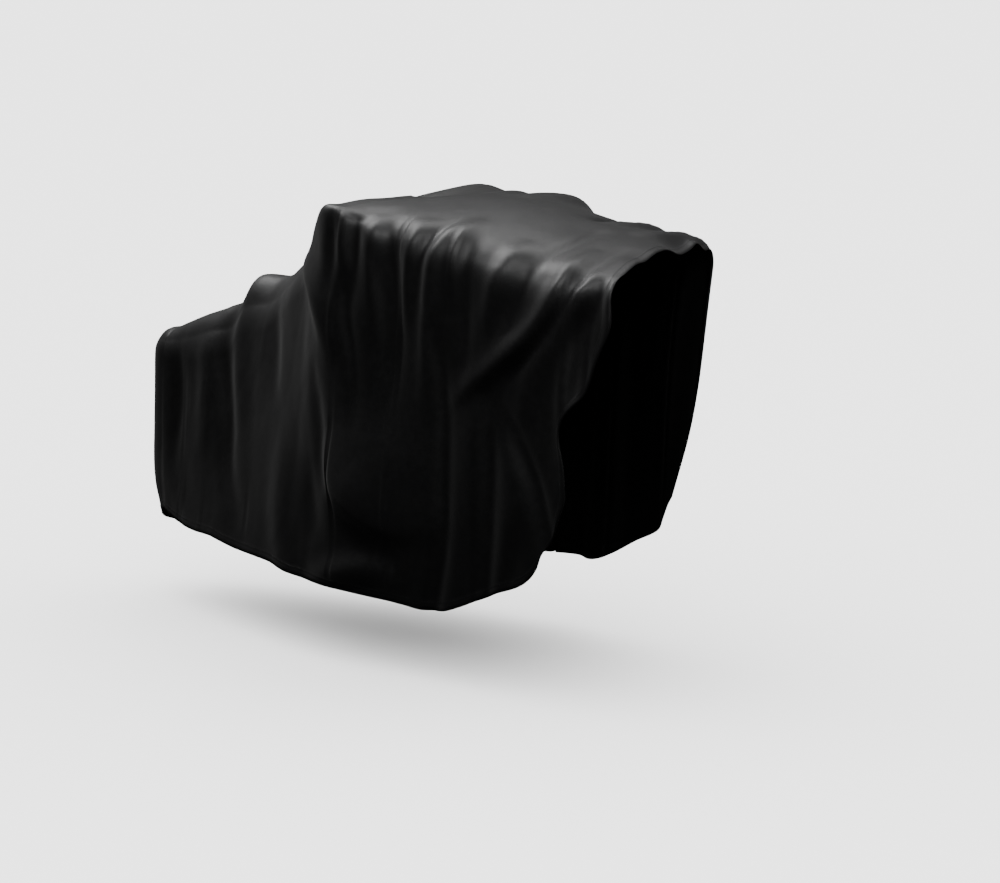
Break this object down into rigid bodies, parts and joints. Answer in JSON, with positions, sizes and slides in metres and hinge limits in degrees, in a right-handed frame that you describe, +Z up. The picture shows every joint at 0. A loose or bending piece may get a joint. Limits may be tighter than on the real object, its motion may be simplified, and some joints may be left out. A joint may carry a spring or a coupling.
{
  "type": "bicycle cover",
  "caption": "Black cloth cover draped over a long load-carrying tricycle: hollow, open below and at the front, with its folds.",
  "frame": {"origin": "under the middle of the top, on the underside of the cloth, where what is covered holds it up", "axes": "+X to the front, the open end; +Y to the far side; +Z up"},
  "size_m": [2.2591, 0.9206, 1.1887],
  "materials": {
    "coated_cloth": "black woven polyester with a satin water-resistant coating"
  },
  "bodies": {
    "root": {"cover": "coated_cloth"}
  },
  "joints": []
}
